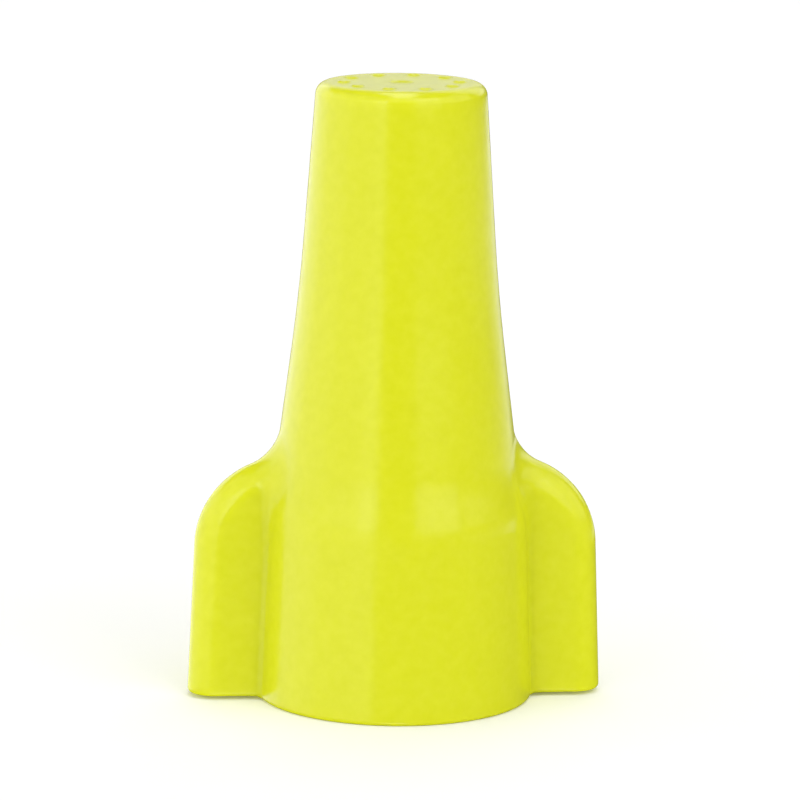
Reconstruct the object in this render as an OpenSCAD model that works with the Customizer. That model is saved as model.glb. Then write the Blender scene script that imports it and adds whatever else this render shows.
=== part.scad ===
// Winged twist-on wire connector: a moulded insulating shell and the tapered
// square-wire spring that is pressed into it.
// Origin: centre of the skirt's rim. +Z runs from the open mouth to the closed
// end, and the two wings lie along X.

/* [Overall size] */
// Height from the skirt's rim to the closed end
height = 27; // [26:0.5:28]
// Span across both wings at the rim
wing_span = 18.2; // [17.8:0.1:18.6]

/* [Cone] */
// Radius of the closed end
tip_r = 3.67; // [3.6:0.01:3.8]
// Taper of the cone's upper part, in degrees a side
upper_taper = 4.05; // [3.8:0.05:4.3]
// Taper of its lower part, in degrees a side
lower_taper = 7.3; // [7:0.1:7.6]
// Height at which the two tapers meet
bend_z = 17.85; // [17:0.05:18.5]
// Length over which one taper eases into the other
bend_length = 5; // [2:0.5:6]
// Rounding of the closed end's edge
tip_round = 0.5; // [0.3:0.05:0.6]

/* [Skirt and shoulder] */
// Outer radius at the rim
rim_r = 6.05; // [5.95:0.05:6.15]
// Taper of the skirt, in degrees a side
skirt_taper = 2.1; // [1.8:0.1:2.4]
// Height at which the cone meets the shoulder
neck_z = 10.1; // [9.9:0.1:10.2]
// Taper of the shoulder between the cone and the skirt, in degrees a side
shoulder_taper = 13; // [12:0.5:16]
// Rounding where the shoulder rolls over into the skirt
shoulder_round = 0.08; // [0.05:0.01:0.15]
// Fillet where the cone meets the shoulder
neck_crease = 0.05; // [0.02:0.01:0.1]
// Rounding of the lower edges of the rim and the wings
rim_round = 0.2; // [0.15:0.05:0.25]

/* [Wings] */
// Thickness of a wing, which has a fully rounded edge
wing_t = 2.3; // [2:0.1:2.5]
// How much each wing narrows from the rim to its shoulder
wing_draft = 0.27; // [0.15:0.01:0.4]
// Radius of a wing's rounded shoulder
wing_shoulder_r = 4; // [3.8:0.1:4.2]
// Height of the centre of that shoulder
wing_shoulder_z = 6.6; // [6.4:0.1:6.7]
// Slope of a wing's upper edge, above the horizontal
wing_slope = 20; // [18:1:25]
// Gap between a wing's lower end and the plane of the rim
wing_lift = 0.14; // [0.1:0.02:0.3]
// Fillet between a wing's faces and the skirt
face_fillet = 0.25; // [0.15:0.05:0.9]
// Fillet between a wing's upper edge and the cone
neck_fillet = 1.05; // [0.9:0.05:1.3]

/* [Wire entry] */
// Radius of the round bore in the skirt
bore_r = 5; // [4.9:0.05:5.05]
// Length of that bore
bore_depth = 7.6; // [7.2:0.1:7.7]
// Radius of the lip that the spring snaps past
lip_r = 3.75; // [3.65:0.05:3.8]

/* [Spring seat] */
// Radius of the seat at its wide end
seat_mouth_r = 4.25; // [4.2:0.05:4.3]
// Radius of the seat at its blind end
seat_tip_r = 2.6; // [2.5:0.05:2.65]
// Height of the seat's blind end
seat_top_z = 24.8; // [24.4:0.1:25]
// How far the grip ribs stand into the seat
rib_h = 0.3; // [0.25:0.05:0.35]
// Width of a grip rib
rib_w = 0.6; // [0.4:0.1:0.8]

/* [Spring] */
// Side of the square wire
wire_side = 0.7; // [0.6:0.05:0.75]
// Rise of each turn
pitch = 1.22; // [1.2:0.01:1.3]
// How deep the wire's outer corner bites into the ribs
bite = 0.03; // [0.01:0.01:0.05]

/* [Closed end] */
// Number of raised pips on the closed end
pip_count = 10; // [6:1:10]
// Height of a pip
pip_h = 0.07; // [0.05:0.01:0.2]

/* [Hidden] */
$fn = 96;

// Steps round a quarter of the outer surface: over the body, then over a wing
body_steps = 9;
wing_steps = 9;
body_sweep = 77;
search_steps = 22;

lip_z = bore_depth + 1;
lip_land = 0.2;
seat_z = lip_z + lip_land + 0.25;
seat_end_clearance = 0.5;

pip_r = 0.3;
pip_circle_r = 2.5;

wire_diagonal = wire_side * sqrt(2);
spring_z = seat_z + wire_diagonal / 2 + 0.05;
spring_turns = (seat_top_z - seat_end_clearance - wire_diagonal / 2 - spring_z) / pitch;
wire_steps = 24;

upper_flare = tan(upper_taper);
lower_flare = tan(lower_taper);

draft_angle = atan(wing_draft / wing_shoulder_z);
wing_shoulder = [wing_span / 2 - wing_draft - wing_shoulder_r / cos(draft_angle), wing_shoulder_z];
flank_normal = [cos(draft_angle), sin(draft_angle)];
slope_normal = [sin(wing_slope), cos(wing_slope)];

// Heights at which the outer surface is worked out, from the rim upwards
level_gap = 0.001;
levels = concat(
    [for (a = [0:30:90]) 0.7 * wing_lift * (1 - cos(a))],
    [wing_lift - level_gap],
    [for (a = [0:30:90]) wing_lift + rim_round * (1 - cos(a))],
    steps(wing_lift + rim_round, wing_shoulder_z - 0.8, 4),
    steps(wing_shoulder_z - 0.8, neck_z + 1.8, 16),
    steps(neck_z + 1.8, height - tip_round, 8),
    [for (a = [30:30:90]) height - tip_round + tip_round * sin(a)]
);

// Evenly spaced values after the first, up to the last
function steps(first, last, count) = [for (i = [1:count]) first + (last - first) * i / count];

// Outer radius of the cone at height z
function cone_radius(z) =
    let (
        bend_start = bend_z + bend_length / 2,
        u = min(max((bend_start - z) / bend_length, 0), 1),
        past_bend = max(bend_start - bend_length - z, 0)
    )
    tip_r + upper_flare * (height - z)
    + (lower_flare - upper_flare) * (bend_length * u * u / 2 + past_bend);

// Distances outside a shape, below zero inside it: the shape that two make
// together with a fillet, and the shape that they share with a rounded edge
function joined(a, b, r) = max(r, min(a, b)) - norm([max(r - a, 0), max(r - b, 0)]);
function shared(a, b, r) = min(-r, max(a, b)) + norm([max(r + a, 0), max(r + b, 0)]);

// Distance outside the skirt, its sloping shoulder and the cone that rises from it
function side_distance(r, z) =
    let (
        skirt = r - rim_r + tan(skirt_taper) * z,
        shoulder = r - cone_radius(neck_z) - tan(shoulder_taper) * (neck_z - z),
        cone = r - cone_radius(max(z, neck_z - 1))
    )
    joined(cone, shared(skirt, shoulder, shoulder_round), neck_crease);

// Distance outside the body without its wings
function body_distance(x, y, z) =
    let (side = side_distance(norm([x, y]), z))
    z > height / 2 ? shared(side, z - height, tip_round) : shared(side, -z, rim_round);

// Distance outside a wing's outline, seen from the front
function outline_distance(x, z) =
    let (p = [x, z] - wing_shoulder, a = atan2(p[1], p[0]))
    (a > draft_angle && a < 90 - wing_slope ? norm(p) : max(p * flank_normal, p * slope_normal))
    - wing_shoulder_r;

// Distance outside a wing, whose edge is fully rounded
function wing_distance(x, y, z) =
    let (plate = norm([max(outline_distance(x, z) + wing_t / 2, 0), y]) - wing_t / 2)
    shared(plate, wing_lift - z, rim_round);

// Distance outside the whole shell, with the fillets where the wings join it
function shell_distance(x, y, z) =
    let (u = min(max((z - wing_shoulder_z) / (neck_z - wing_shoulder_z), 0), 1))
    joined(
        body_distance(x, y, z),
        wing_distance(x, y, z),
        face_fillet + (neck_fillet - face_fillet) * u * u * (3 - 2 * u)
    );

// How far the shell reaches from (x, 0) in direction d at height z
function reach(x, d, z, near, far, count) =
    let (mid = (near + far) / 2)
    count == 0 ? mid
    : shell_distance(x + d[0] * mid, d[1] * mid, z) > 0 ? reach(x, d, z, near, mid, count - 1)
    : reach(x, d, z, mid, far, count - 1);

// A quarter of the outer surface at height z, from the front to a wing's edge
function quarter(z) =
    let (
        edge = reach(0, [1, 0], z, 0, wing_span, search_steps),
        r = reach(0, [0, 1], z, 0, wing_span, search_steps),
        turn = r * sin(body_sweep),
        across = concat(
            [for (i = [0:body_steps]) r * sin(body_sweep * i / body_steps)],
            [for (i = [1:wing_steps - 1]) turn + (edge - turn) * (1 - cos(180 * i / wing_steps)) / 2]
        )
    )
    concat([for (x = across) [x, reach(x, [0, 1], z, 0, 2 * rim_r, search_steps)]], [[edge, 0]]);

// The outer surface at height z as a closed ring of points
function ring(z) =
    let (q = quarter(z), n = len(q) - 1)
    concat(
        [for (i = [0:n]) [q[i][0], -q[i][1], z]],
        [for (i = [n - 1:-1:0]) [q[i][0], q[i][1], z]],
        [for (i = [1:n]) [-q[i][0], q[i][1], z]],
        [for (i = [n - 1:-1:1]) [-q[i][0], -q[i][1], z]]
    );

// Outer surface of the shell as one closed solid
module outer_surface() {
    rings = [for (z = levels) ring(z)];
    n = len(rings[0]);
    last = len(rings) - 1;
    sides = [
        for (j = [0:last - 1])
            for (i = [0:n - 1])
                let (a = j * n + i, b = j * n + (i + 1) % n)
                    each [[a, a + n, b], [b, a + n, b + n]]
    ];
    polyhedron(
        points = [for (r = rings) each r],
        faces = concat([[for (i = [0:n - 1]) i]], [[for (i = [n - 1:-1:0]) last * n + i]], sides)
    );
}

// Round bore in the skirt, the sloping ledge and the spring's lip
module wire_entry() {
    translate([0, 0, -1])
        cylinder(h = bore_depth + 1, r = bore_r);
    rotate_extrude()
        polygon([
            [0, bore_depth], [bore_r, bore_depth], [lip_r, lip_z],
            [lip_r, lip_z + lip_land], [seat_mouth_r, seat_z], [0, seat_z]
        ]);
}

// Radius of the spring seat outside its ribs
function seat_radius(z) =
    seat_mouth_r + (seat_tip_r - seat_mouth_r) * (z - seat_z) / (seat_top_z - seat_z);

// Tapered seat for the spring, with grip ribs left standing
module spring_seat() {
    difference() {
        rotate_extrude()
            polygon([[0, seat_z], [seat_mouth_r, seat_z], [seat_tip_r, seat_top_z], [0, seat_top_z]]);
        difference() {
            for (a = [0:60:120])
                rotate([0, 0, a])
                    translate([-bore_r, -rib_w / 2, seat_z + rib_h])
                        cube([2 * bore_r, rib_w, seat_top_z - seat_z]);
            rotate_extrude()
                polygon([
                    [0, seat_z - 1],
                    [seat_radius(seat_z - 1) - rib_h, seat_z - 1],
                    [seat_radius(seat_top_z + 1) - rib_h, seat_top_z + 1],
                    [0, seat_top_z + 1]
                ]);
        }
    }
}

// Ring of plain pips on the closed end
module closed_end_pips() {
    for (i = [0:pip_count - 1])
        rotate([0, 0, i * 360 / pip_count])
            translate([pip_circle_r, 0, height - pip_h])
                cylinder(h = 2 * pip_h, r = pip_r);
}

module shell() {
    color([0.88, 0.88, 0.23])
        difference() {
            union() {
                outer_surface();
                closed_end_pips();
            }
            wire_entry();
            spring_seat();
        }
}

// Four corners of the square wire at a number of turns from its lower end
function wire_section(turns) =
    let (
        z = spring_z + pitch * turns,
        half = wire_diagonal / 2,
        r = seat_radius(z) - rib_h + bite - half,
        a = 360 * turns
    )
    [for (c = [[half, 0], [0, half], [-half, 0], [0, -half]])
        [(r + c[0]) * cos(a), (r + c[0]) * sin(a), z + c[1]]];

// Tapered coil of square wire with a corner turned inwards
module spring() {
    last = floor(spring_turns * wire_steps);
    points = [for (i = [0:last]) each wire_section(i / wire_steps)];
    sides = [
        for (i = [0:last - 1])
            for (k = [0:3])
                let (a = 4 * i + k, b = 4 * i + (k + 1) % 4)
                    each [[a, a + 4, b], [b, a + 4, b + 4]]
    ];
    ends = [[0, 1, 2, 3], [4 * last + 3, 4 * last + 2, 4 * last + 1, 4 * last]];
    color([0.75, 0.76, 0.78])
        polyhedron(points = points, faces = concat(ends, sides));
}

shell();
spring();
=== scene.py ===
"""Looks of a winged twist-on wire connector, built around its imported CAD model.

The shell is one fine mesh whose outside follows the same blended outline as the CAD shell, and the
spring is a coil of square wire with rounded corners. Lengths are in millimetres until a mesh is made,
and in metres after.
"""

import math

import bpy
import numpy as np
from mathutils import Matrix, Vector


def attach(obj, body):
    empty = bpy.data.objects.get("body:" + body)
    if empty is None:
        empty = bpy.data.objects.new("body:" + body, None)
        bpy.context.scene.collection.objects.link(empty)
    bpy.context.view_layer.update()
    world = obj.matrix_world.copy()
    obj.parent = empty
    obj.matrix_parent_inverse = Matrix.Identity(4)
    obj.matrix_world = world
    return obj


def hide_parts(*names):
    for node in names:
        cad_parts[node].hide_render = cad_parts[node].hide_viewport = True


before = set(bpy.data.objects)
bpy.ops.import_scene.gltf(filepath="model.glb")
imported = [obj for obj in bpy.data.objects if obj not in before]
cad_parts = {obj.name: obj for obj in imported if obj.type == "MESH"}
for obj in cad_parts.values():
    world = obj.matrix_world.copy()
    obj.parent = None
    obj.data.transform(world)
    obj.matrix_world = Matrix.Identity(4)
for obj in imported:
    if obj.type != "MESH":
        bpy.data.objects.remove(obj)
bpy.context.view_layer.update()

MM = 0.001

# Outside of the shell
HEIGHT = 27.0
TIP_R = 3.67
TIP_ROUND = 0.5
UPPER_FLARE = math.tan(math.radians(4.05))
LOWER_FLARE = math.tan(math.radians(7.3))
BEND_Z = 17.85
BEND_LENGTH = 5.0
NECK_Z = 10.1
SHOULDER_FLARE = math.tan(math.radians(13.0))
SHOULDER_ROUND = 0.08
NECK_CREASE = 0.05
RIM_R = 6.05
SKIRT_FLARE = math.tan(math.radians(2.1))
RIM_ROUND = 0.2
WING_SPAN = 18.2
WING_T = 2.3
WING_DRAFT = 0.27
WING_SHOULDER_R = 4.0
WING_SHOULDER_Z = 6.6
WING_SLOPE = math.radians(20.0)
WING_LIFT = 0.14
FACE_FILLET = 0.25
NECK_FILLET = 1.05

# Inside of the shell
BORE_R = 5.0
BORE_DEPTH = 7.6
BORE_ROUND = 0.15
LIP_R = 3.75
LIP_Z = BORE_DEPTH + 1.0
LIP_LAND = 0.2
SEAT_MOUTH_R = 4.25
SEAT_Z = LIP_Z + LIP_LAND + 0.25
SEAT_TIP_R = 2.6
SEAT_TOP_Z = 24.8
RIB_COUNT = 6
RIB_H = 0.3
RIB_W = 0.6

# Bends of the inside's outline, each measured back from its corner
LEDGE_BEND = 0.3
LIP_BEND = 0.16
LIP_BACK_BEND = 0.06
SHORT_BEND = 0.1
SEAT_END_BEND = 0.4

# Grip ribs: the slope at a rib's side, its run-in from the seat's mouth, and where it fades out
RIB_EDGE = 0.1
RIB_START_Z = SEAT_Z + 0.2
RIB_RUN_IN = 0.3
RIB_FULL_Z = SEAT_Z + 1.2
RIB_FULL_R = 2.0
RIB_GONE_R = 1.5

# Closed end: its pips and the gate mark, each with the width of the slope round it
PIP_COUNT = 10
PIP_R = 0.3
PIP_H = 0.07
PIP_EDGE = 0.12
PIP_CIRCLE_R = 2.5
GATE_R = 0.55
GATE_DEPTH = 0.07
GATE_EDGE = 0.15

# Spring
WIRE_SIDE = 0.7
WIRE_ROUND = 0.06
PITCH = 1.22
BITE = 0.03
END_CLEARANCE = 0.5
START_CLEARANCE = 0.05
CUT_END_SCALE = 0.88
STEPS_A_TURN = 72

# How finely the shell is cut: steps round a quarter of it, over the body and over a wing
BODY_STEPS = 50
WING_STEPS = 28
BODY_SWEEP = math.radians(77.0)
SEARCH_STEPS = 30
LEVEL_MARGIN = 1.2
SHARP_EDGE = math.radians(40)

# Colours of the materials
YELLOW_DEEP = (0.670, 0.700, 0.008)
YELLOW_PALE = (0.718, 0.738, 0.020)
ZINC_DARK = (0.60, 0.61, 0.63)
ZINC_BRIGHT = (0.76, 0.77, 0.78)
FLOOR_COLOURS = (0.97, 0.97, 0.97), (0.98, 0.98, 0.98)

# Camera: where it stands, in degrees and metres, and what it aims at
CAMERA_AZIMUTH = -5.9
CAMERA_ELEVATION = 11.0
CAMERA_DISTANCE = 0.205
CAMERA_LENS = 212.06
CAMERA_ROLL = 0.755
AIM_RIGHT = 0.000105
AIM_UP = -0.00041

# Floor and lamps, in metres and degrees
FLOOR_R = 0.8
FLOOR_STEP = 5
LAMP_DISTANCE = 1.2
STEEPEST_NARROWING = 60


def step_up(u):
    """0 below 0, 1 above 1, and smooth between."""
    u = np.clip(u, 0, 1)
    return u * u * (3 - 2 * u)


def cone_radius(z):
    """Outer radius of the cone: two tapers, one easing into the other."""
    bend_start = BEND_Z + BEND_LENGTH / 2
    u = np.clip((bend_start - z) / BEND_LENGTH, 0, 1)
    past_bend = np.maximum(bend_start - BEND_LENGTH - z, 0)
    turned = BEND_LENGTH * u**2 / 2 + past_bend
    return TIP_R + UPPER_FLARE * (HEIGHT - z) + (LOWER_FLARE - UPPER_FLARE) * turned


def joined(a, b, r):
    """Distance outside two shapes together, with a fillet where they meet."""
    return np.maximum(r, np.minimum(a, b)) - np.hypot(np.maximum(r - a, 0), np.maximum(r - b, 0))


def shared(a, b, r):
    """Distance outside what two shapes share, with a rounded edge."""
    return np.minimum(-r, np.maximum(a, b)) + np.hypot(np.maximum(r + a, 0), np.maximum(r + b, 0))


def side_distance(rho, z):
    """Distance outside the skirt, its sloping shoulder and the cone that rises from it."""
    skirt = rho - (RIM_R - SKIRT_FLARE * z)
    shoulder = rho - (cone_radius(NECK_Z) + SHOULDER_FLARE * (NECK_Z - z))
    cone = rho - cone_radius(np.maximum(z, NECK_Z - 1))
    return joined(cone, shared(skirt, shoulder, SHOULDER_ROUND), NECK_CREASE)


def body_distance(x, y, z):
    """Distance outside the body without its wings, rounded at the closed end and at the rim."""
    side = side_distance(np.hypot(x, y), z)
    tip = shared(side, z - HEIGHT, TIP_ROUND)
    rim = shared(side, -z, RIM_ROUND)
    return np.where(z > HEIGHT / 2, tip, rim)


def outline_distance(x, z):
    """Distance outside a wing's outline, seen from the front."""
    draft = math.atan(WING_DRAFT / WING_SHOULDER_Z)
    px = x - (WING_SPAN / 2 - WING_DRAFT - WING_SHOULDER_R / math.cos(draft))
    pz = z - WING_SHOULDER_Z
    angle = np.arctan2(pz, px)
    flank = px * math.cos(draft) + pz * math.sin(draft)
    top = px * math.sin(WING_SLOPE) + pz * math.cos(WING_SLOPE)
    round_part = (angle > draft) & (angle < math.pi / 2 - WING_SLOPE)
    return np.where(round_part, np.hypot(px, pz), np.maximum(flank, top)) - WING_SHOULDER_R


def wing_distance(x, y, z):
    """Distance outside a wing, whose edge is fully rounded."""
    plate = np.hypot(np.maximum(outline_distance(x, z) + WING_T / 2, 0), y) - WING_T / 2
    return shared(plate, WING_LIFT - z, RIM_ROUND)


def shell_distance(x, y, z):
    """Distance outside the body and its wings, with a fillet that grows from faces to neck."""
    towards_neck = step_up((z - WING_SHOULDER_Z) / (NECK_Z - WING_SHOULDER_Z))
    fillet = FACE_FILLET + (NECK_FILLET - FACE_FILLET) * towards_neck
    return joined(body_distance(x, y, z), wing_distance(x, y, z), fillet)


def reach(x, dx, dy, z):
    """How far the shell reaches from (x, 0) in direction (dx, dy) at height z."""
    near = np.zeros(np.broadcast(x, z).shape)
    far = near + WING_SPAN
    for _ in range(SEARCH_STEPS):
        middle = (near + far) / 2
        outside = shell_distance(x + dx * middle, dy * middle, z) > 0
        far = np.where(outside, middle, far)
        near = np.where(outside, near, middle)
    return (near + far) / 2


def quarter(z):
    """A quarter of the outer surface, from the front to a wing's edge: a row of points a height."""
    z = z[:, None]
    edge = reach(0.0, 1, 0, z)
    turn = reach(0.0, 0, 1, z) * math.sin(BODY_SWEEP)
    over_body = np.sin(BODY_SWEEP * np.arange(BODY_STEPS + 1) / BODY_STEPS) / math.sin(BODY_SWEEP)
    over_wing = (1 - np.cos(math.pi * np.arange(1, WING_STEPS) / WING_STEPS)) / 2
    x = np.hstack([turn * over_body, turn + (edge - turn) * over_wing])
    y = reach(x, 0, 1, z)
    return np.hstack([x, edge]), np.hstack([y, np.zeros_like(edge)])


def outer_rings(z):
    """The outer surface as closed rings of points, one for each height."""
    x, y = quarter(z)
    ring_x = np.hstack([x, x[:, -2::-1], -x[:, 1:], -x[:, -2:0:-1]])
    ring_y = np.hstack([-y, y[:, -2::-1], y[:, 1:], -y[:, -2:0:-1]])
    return [np.column_stack([px, py, np.full_like(px, h)]) for px, py, h in zip(ring_x, ring_y, z)]


def spread(first, last, count):
    """Evenly spaced values after the first, up to the last."""
    return first + (last - first) * np.arange(1, count + 1) / count


def bend(start, control, end):
    """Points of a smooth bend in a half outline, after its start."""
    t = spread(0, 1, 6)[:, None]
    points = (1 - t) ** 2 * start + 2 * t * (1 - t) * control + t**2 * end
    return [tuple(p) for p in points]


def outside_levels():
    """Heights of the outer rings, from the rim upwards, closest together where the outline turns."""
    quarter_turn = np.radians(np.arange(0, 91, 10))
    skirt_end = WING_SHOULDER_Z - LEVEL_MARGIN
    neck_end = WING_SHOULDER_Z + WING_SHOULDER_R + LEVEL_MARGIN
    below_wings = WING_LIFT - 0.001
    first_rise = 0.7 * WING_LIFT
    parts = [
        first_rise * (1 - np.cos(quarter_turn[::2])),
        [below_wings],
        WING_LIFT + RIM_ROUND * (1 - np.cos(quarter_turn)),
        spread(WING_LIFT + RIM_ROUND, skirt_end, 18),
        spread(skirt_end, neck_end, 92),
        spread(neck_end, HEIGHT - TIP_ROUND, 34),
        HEIGHT - TIP_ROUND * (1 - np.sin(quarter_turn[1:])),
    ]
    return np.concatenate(parts)


def nearest_of(count, angles):
    """For each angle, the nearest of that many directions spaced evenly round a circle."""
    return np.round(angles * count / (2 * math.pi)) * 2 * math.pi / count


def closed_end_rings(angles, rim):
    """Flat end of the cone with its ring of pips and the gate mark, from near the centre outwards."""
    margin = 0.1
    gate_end = GATE_R + margin
    pips_start = PIP_CIRCLE_R - PIP_R - margin
    pips_end = PIP_CIRCLE_R + PIP_R + margin
    radii = np.concatenate([
        spread(0, gate_end, 9),
        spread(gate_end, pips_start, 7),
        spread(pips_start, pips_end, 22),
        spread(pips_end, rim, 4)[:-1],
    ])
    turn = nearest_of(PIP_COUNT, angles)
    pip_x, pip_y = PIP_CIRCLE_R * np.cos(turn), PIP_CIRCLE_R * np.sin(turn)
    pip_foot_r = PIP_R + PIP_EDGE / 4
    rings = []
    for r in radii:
        x, y = r * np.cos(angles), r * np.sin(angles)
        from_pip = np.hypot(x - pip_x, y - pip_y)
        pips = PIP_H * step_up((pip_foot_r - from_pip) / PIP_EDGE)
        gate = GATE_DEPTH * step_up((GATE_R - r) / GATE_EDGE)
        rings.append(np.column_stack([x, y, HEIGHT + pips - gate]))
    return rings


def seat_radius(z):
    """Radius of the spring's tapered seat outside its ribs."""
    return SEAT_MOUTH_R + (SEAT_TIP_R - SEAT_MOUTH_R) * (z - SEAT_Z) / (SEAT_TOP_Z - SEAT_Z)


def inside_outline():
    """Half outline of the inside, from the rim, up the bore, over the lip and into the spring's seat."""
    mouth = np.array([BORE_R, 0.0])
    ledge = np.array([BORE_R, BORE_DEPTH])
    lip = np.array([LIP_R, LIP_Z])
    lip_back = np.array([LIP_R, LIP_Z + LIP_LAND])
    seat = np.array([SEAT_MOUTH_R, SEAT_Z])
    slope = (lip - ledge) / np.linalg.norm(lip - ledge)
    back_slope = (seat - lip_back) / np.linalg.norm(seat - lip_back)
    up = np.array([0.0, 1.0])
    out = np.array([1.0, 0.0])
    points = [tuple(mouth + 2 * BORE_ROUND * out), tuple(mouth + BORE_ROUND * out)]
    points += bend(mouth + BORE_ROUND * out, mouth, mouth + BORE_ROUND * up)
    points += [(BORE_R, z) for z in spread(BORE_ROUND, BORE_DEPTH - LEDGE_BEND, 12)]
    points += bend(ledge - LEDGE_BEND * up, ledge, ledge + LEDGE_BEND * slope)
    points += [tuple(ledge + (lip - ledge) * part) for part in (0.35, 0.5, 0.65, 0.8)]
    points += bend(lip - LIP_BEND * slope, lip, lip + SHORT_BEND * up)
    points += bend(lip_back - LIP_BACK_BEND * up, lip_back, lip_back + SHORT_BEND * back_slope)
    points += bend(seat - SHORT_BEND * back_slope, seat, seat + SHORT_BEND * up)
    seat_end_z = SEAT_TOP_Z - SEAT_END_BEND
    points += [(seat_radius(z), z) for z in spread(SEAT_Z + SHORT_BEND, RIB_FULL_Z, 12)]
    points += [(seat_radius(z), z) for z in spread(RIB_FULL_Z, seat_end_z, 24)]
    end = np.array([SEAT_TIP_R, SEAT_TOP_Z])
    taper = 0.04 * out
    points += bend(end + taper - SEAT_END_BEND * up, end, end - SEAT_END_BEND * out)
    points += [(r, SEAT_TOP_Z) for r in spread(SEAT_TIP_R - SEAT_END_BEND, 0, 6)[:-1]]
    return points


def inside_rings(angles):
    """Inside of the shell as rings, with the spring's grip ribs standing in its seat."""
    off_rib = np.abs(np.sin(angles - nearest_of(RIB_COUNT, angles)))
    rib_foot = (RIB_W + RIB_EDGE) / 2
    rings = []
    for r, z in inside_outline():
        across = step_up((rib_foot - off_rib * r) / RIB_EDGE)
        along = step_up((z - RIB_START_Z) / RIB_RUN_IN)
        inwards = step_up((r - RIB_GONE_R) / (RIB_FULL_R - RIB_GONE_R))
        radius = r - RIB_H * across * along * inwards
        x, y = radius * np.cos(angles), radius * np.sin(angles)
        rings.append(np.column_stack([x, y, np.full_like(angles, z)]))
    return rings


def lofted(name, first, rings, last, material):
    """Closed smooth skin through rings of equally many points, drawn to a point at each end."""
    count = len(rings[0])
    points = np.vstack([first, *rings, last]) * MM
    here = np.arange(count)
    after = np.roll(here, -1)
    faces = [(0, 1 + b, 1 + a) for a, b in zip(here, after)]
    for k in range(len(rings) - 1):
        low = 1 + k * count
        high = low + count
        faces += [(low + a, low + b, high + b, high + a) for a, b in zip(here, after)]
    low = 1 + (len(rings) - 1) * count
    faces += [(low + a, low + b, len(points) - 1) for a, b in zip(here, after)]
    mesh = bpy.data.meshes.new(name)
    mesh.from_pydata(points.tolist(), [], [tuple(int(i) for i in f) for f in faces])
    mesh.shade_smooth()
    mesh.set_sharp_from_angle(angle=SHARP_EDGE)
    mesh.materials.append(material)
    piece = bpy.data.objects.new(name, mesh)
    bpy.context.scene.collection.objects.link(piece)
    return piece


def make_shell(material):
    """Shell as one closed skin: from the middle of its end, down the outside and up the inside."""
    outside = outer_rings(outside_levels())
    angles = np.arctan2(outside[0][:, 1], outside[0][:, 0])
    end_angles = np.arctan2(outside[-1][:, 1], outside[-1][:, 0])
    rim = np.hypot(*outside[-1][0, :2])
    rings = closed_end_rings(end_angles, rim) + outside[::-1] + inside_rings(angles)
    return lofted("shell_moulding", [0, 0, HEIGHT - GATE_DEPTH], rings, [0, 0, SEAT_TOP_Z], material)


def wire_profile():
    """Outline of the square wire round its own middle, with a rounded corner turned outwards."""
    reach_of_corner = WIRE_SIDE / math.sqrt(2) - WIRE_ROUND * math.sqrt(2)
    points = []
    for turn in (0, 90, 180, 270):
        x = reach_of_corner * math.cos(math.radians(turn))
        z = reach_of_corner * math.sin(math.radians(turn))
        a = np.radians(np.linspace(turn - 45, turn + 45, 4))
        points += list(zip(x + WIRE_ROUND * np.cos(a), z + WIRE_ROUND * np.sin(a)))
    return np.array(points)


def make_spring(material):
    """Tapered coil of square wire, pressed into its seat, with the cut ends slightly bevelled."""
    half = WIRE_SIDE / math.sqrt(2)
    start_z = SEAT_Z + half + START_CLEARANCE
    turns = (SEAT_TOP_Z - END_CLEARANCE - half - start_z) / PITCH
    steps = int(turns * STEPS_A_TURN)
    profile = wire_profile()
    rings = []
    straight = []
    for i, turn in enumerate(np.arange(steps + 1) / STEPS_A_TURN):
        z = start_z + PITCH * turn
        middle = seat_radius(z) - RIB_H + BITE - half
        scale = CUT_END_SCALE if i in (0, steps) else 1.0
        r = middle + scale * profile[:, 0]
        a = 2 * math.pi * turn
        height = z + scale * profile[:, 1]
        rings.append(np.column_stack([r * math.cos(a), r * math.sin(a), height]))
        length = 2 * math.pi * middle * turn
        straight.append(np.column_stack([profile, np.full(len(profile), length)]))
    ends = [rings[0].mean(axis=0), rings[-1].mean(axis=0)]
    piece = lofted("spring_coil", ends[0], rings, ends[1], material)
    along = np.vstack([straight[0][:1], *straight, straight[-1][:1]])
    drawn = piece.data.attributes.new("straight_wire", "FLOAT_VECTOR", "POINT")
    drawn.data.foreach_set("vector", along.astype(np.float32).ravel())
    return piece


def node(tree, kind, **settings):
    """New shader node, with its inputs set by name or its own settings by attribute."""
    made = tree.nodes.new(kind)
    for key, value in settings.items():
        name = key.replace("_", " ")
        if name in made.inputs:
            made.inputs[name].default_value = value
        else:
            setattr(made, key, value)
    return made


def new_material(name):
    """New material, with its node tree and its shader."""
    material = bpy.data.materials.new(name)
    material.use_nodes = True
    return material, material.node_tree, material.node_tree.nodes["Principled BSDF"]


def noise(tree, vector, scale, detail=3.0, stretch=None):
    """Noise of about that many lumps to a metre, stretched along an axis if asked."""
    links = tree.links
    texture = node(tree, "ShaderNodeTexNoise", Scale=scale, Detail=detail)
    if stretch:
        mapping = node(tree, "ShaderNodeMapping", Scale=stretch)
        links.new(vector, mapping.inputs["Vector"])
        vector = mapping.outputs["Vector"]
    links.new(vector, texture.inputs["Vector"])
    return texture.outputs["Fac"]


def ranged(tree, value, low, high):
    """A noise's usual range, spread from low to high."""
    made = node(tree, "ShaderNodeMapRange", From_Min=0.2, From_Max=0.8, To_Min=low, To_Max=high)
    tree.links.new(value, made.inputs["Value"])
    return made.outputs["Result"]


def blended(tree, value, a, b):
    """Two colours mixed by a value."""
    made = node(tree, "ShaderNodeMix", data_type="RGBA")
    colours = {"A": (*a, 1), "B": (*b, 1)}
    for socket in made.inputs:
        if socket.type == "RGBA":
            socket.default_value = colours[socket.name]
    tree.links.new(value, made.inputs[0])
    return next(s for s in made.outputs if s.type == "RGBA")


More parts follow.
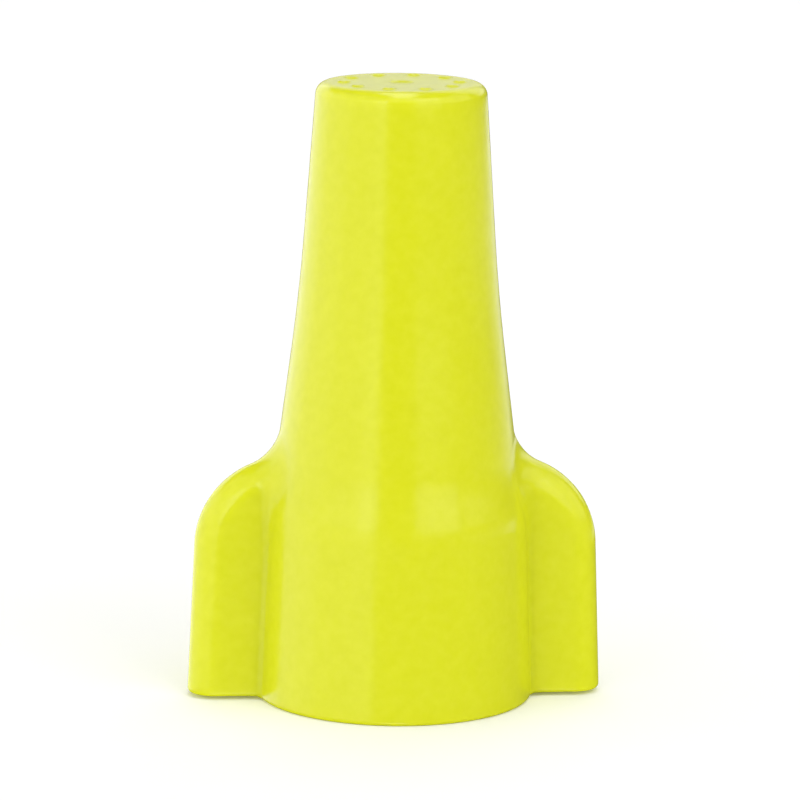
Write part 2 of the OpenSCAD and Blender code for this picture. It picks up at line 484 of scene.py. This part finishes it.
def bumped(tree, shader, heights):
    """Bumps laid one on another: pairs of a height and its depth in metres."""
    normal = None
    for height, depth in heights:
        bump = node(tree, "ShaderNodeBump", Strength=1.0, Distance=depth)
        tree.links.new(height, bump.inputs["Height"])
        if normal:
            tree.links.new(normal, bump.inputs["Normal"])
        normal = bump.outputs["Normal"]
    tree.links.new(normal, shader.inputs["Normal"])


def shell_plastic():
    """Yellow polypropylene: faintly mottled, half glossy, with the mould's fine grain and draw marks."""
    material, tree, shader = new_material("yellow_polypropylene")
    where = node(tree, "ShaderNodeTexCoord").outputs["Object"]
    mottle = ranged(tree, noise(tree, where, 2400.0), 0.0, 1.0)
    sheen = ranged(tree, noise(tree, where, 500.0), 0.17, 0.25)
    grain = noise(tree, where, 3500.0, detail=2.0)
    drawn = noise(tree, where, 1500.0, stretch=(1, 1, 0.03))
    depth = 0.000004
    tree.links.new(blended(tree, mottle, YELLOW_DEEP, YELLOW_PALE), shader.inputs["Base Color"])
    tree.links.new(sheen, shader.inputs["Roughness"])
    bumped(tree, shader, [(grain, depth), (drawn, depth)])
    shader.inputs["IOR"].default_value = 1.5
    shader.inputs["Subsurface Weight"].default_value = 0.6
    shader.inputs["Subsurface Radius"].default_value = (1.0, 1.0, 0.2)
    shader.inputs["Subsurface Scale"].default_value = 0.001
    return material


def spring_steel():
    """Zinc-plated spring wire: bright, with fine lines along the wire and a slightly uneven sheen."""
    material, tree, shader = new_material("zinc_plated_wire")
    where = node(tree, "ShaderNodeTexCoord").outputs["Object"]
    wire = node(tree, "ShaderNodeAttribute", attribute_name="straight_wire").outputs["Vector"]
    mottle = ranged(tree, noise(tree, where, 1200.0), 0.0, 1.0)
    sheen = ranged(tree, noise(tree, where, 2500.0), 0.22, 0.38)
    lines = noise(tree, wire, 14.0, detail=2.0, stretch=(1, 1, 0.02))
    depth = 0.000012
    tree.links.new(blended(tree, mottle, ZINC_DARK, ZINC_BRIGHT), shader.inputs["Base Color"])
    tree.links.new(sheen, shader.inputs["Roughness"])
    bumped(tree, shader, [(lines, depth)])
    shader.inputs["Metallic"].default_value = 1.0
    return material


def pale_floor():
    """Large pale floor that the part stands on, with a faint unevenness.

    It glows a little, so that it is as white as a lit sweep. It doesn't shade the lamps below it, and
    the part's gloss doesn't show it.
    """
    material, tree, shader = new_material("pale_floor")
    where = node(tree, "ShaderNodeTexCoord").outputs["Object"]
    colour = blended(tree, noise(tree, where, 40.0), *FLOOR_COLOURS)
    tree.links.new(colour, shader.inputs["Base Color"])
    shader.inputs["Roughness"].default_value = 0.9
    shader.inputs["Specular IOR Level"].default_value = 0.1
    shader.inputs["Emission Color"].default_value = (1.0, 1.0, 1.0, 1.0)
    shader.inputs["Emission Strength"].default_value = 0.07
    angles = np.radians(np.arange(0, 360, FLOOR_STEP))
    rim = [(FLOOR_R * math.cos(a), FLOOR_R * math.sin(a), 0.0) for a in angles]
    mesh = bpy.data.meshes.new("floor")
    mesh.from_pydata(rim, [], [tuple(range(len(rim)))])
    mesh.materials.append(material)
    floor = bpy.data.objects.new("floor", mesh)
    bpy.context.scene.collection.objects.link(floor)
    floor.visible_glossy = False
    floor.visible_shadow = False


def direction(azimuth, elevation):
    """Unit vector from the part towards a bearing round it: 0 in front of it, 90 on its right."""
    a, e = math.radians(azimuth), math.radians(elevation)
    return Vector((math.sin(a) * math.cos(e), -math.cos(a) * math.cos(e), math.sin(e)))


def make_camera():
    """Long lens, slightly left of the front and above, turned a little about its own axis."""
    back = direction(CAMERA_AZIMUTH, CAMERA_ELEVATION)
    right = Vector((0, 0, 1)).cross(back).normalized()
    up = back.cross(right)
    roll = math.radians(CAMERA_ROLL)
    rolled_right = math.cos(roll) * right + math.sin(roll) * up
    rolled_up = -math.sin(roll) * right + math.cos(roll) * up
    middle = Vector((0, 0, HEIGHT * MM / 2))
    aim = middle + AIM_RIGHT * rolled_right + AIM_UP * rolled_up
    data = bpy.data.cameras.new("camera")
    data.lens = CAMERA_LENS
    data.clip_start = 0.01
    data.clip_end = 10.0
    camera = bpy.data.objects.new("camera", data)
    axes = Matrix((rolled_right, rolled_up, back)).transposed().to_4x4()
    camera.matrix_world = Matrix.Translation(aim + back * CAMERA_DISTANCE) @ axes
    bpy.context.scene.collection.objects.link(camera)
    bpy.context.scene.camera = camera


def softbox(name, azimuths, elevations, glow):
    """Large soft lamp that faces the part and covers that range of bearings, counted from the camera's.

    Its glow is how bright its face is.
    """
    azimuth = CAMERA_AZIMUTH + sum(azimuths) / 2
    elevation = sum(elevations) / 2
    narrowing = math.cos(math.radians(min(abs(elevation), STEEPEST_NARROWING)))
    turn = math.radians(azimuths[1] - azimuths[0]) * narrowing
    rise = math.radians(elevations[1] - elevations[0])
    data = bpy.data.lights.new(name, "AREA")
    data.shape = "RECTANGLE"
    data.size = 2 * LAMP_DISTANCE * math.tan(turn / 2)
    data.size_y = 2 * LAMP_DISTANCE * math.tan(rise / 2)
    data.energy = math.pi * data.size * data.size_y * glow
    lamp = bpy.data.objects.new(name, data)
    towards = direction(azimuth, elevation)
    lamp.location = towards * LAMP_DISTANCE
    lamp.rotation_mode = "QUATERNION"
    lamp.rotation_quaternion = towards.to_track_quat("Z", "Y")
    lamp.visible_camera = False
    bpy.context.scene.collection.objects.link(lamp)


def studio_world(glow):
    """Even, dim white surroundings."""
    world = bpy.data.worlds.new("studio")
    world.use_nodes = True
    background = world.node_tree.nodes["Background"]
    background.inputs["Color"].default_value = (1, 1, 1, 1)
    background.inputs["Strength"].default_value = glow
    bpy.context.scene.world = world


def make_studio():
    """Pale floor, even surroundings and soft lamps round the part, with a gap on the camera's side."""
    pale_floor()
    studio_world(0.06)
    softbox("left_back", (-165, -110), (-20, 30), 1.3)
    softbox("left_side", (-110, -70), (-16, 30), 1.1)
    softbox("left_front", (-70, -34), (-16, 7), 0.8)
    softbox("left_front_top", (-70, -34), (7, 30), 1.2)
    softbox("left_strip", (-34, -18), (-16, 6), 0.9)
    softbox("left_strip_top", (-34, -18), (6, 32), 2.2)
    softbox("left_high", (-120, -18), (30, 62), 0.75)
    softbox("front_high", (-18, 16), (24, 62), 0.9)
    softbox("front_low", (-18, 18), (-50, -21), 1.7)
    softbox("right_high", (16, 60), (30, 58), 2.1)
    softbox("right_front", (18, 60), (5, 30), 1.35)
    softbox("right_side", (60, 112), (7, 52), 0.9)
    softbox("right_low", (60, 112), (-5.5, -3), 1.0)
    softbox("right_low_back", (112, 165), (-8, -4), 1.1)
    softbox("right_back", (128, 165), (8, 52), 1.1)
    softbox("back", (165, 200), (5, 50), 0.8)
    softbox("overhead", (-20, 20), (62, 118), 3.2)
    bpy.context.scene.view_settings.view_transform = "Standard"


shell = make_shell(shell_plastic())
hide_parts("shell")
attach(shell, "root")

spring = make_spring(spring_steel())
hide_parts("spring")
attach(spring, "root")

make_camera()
make_studio()
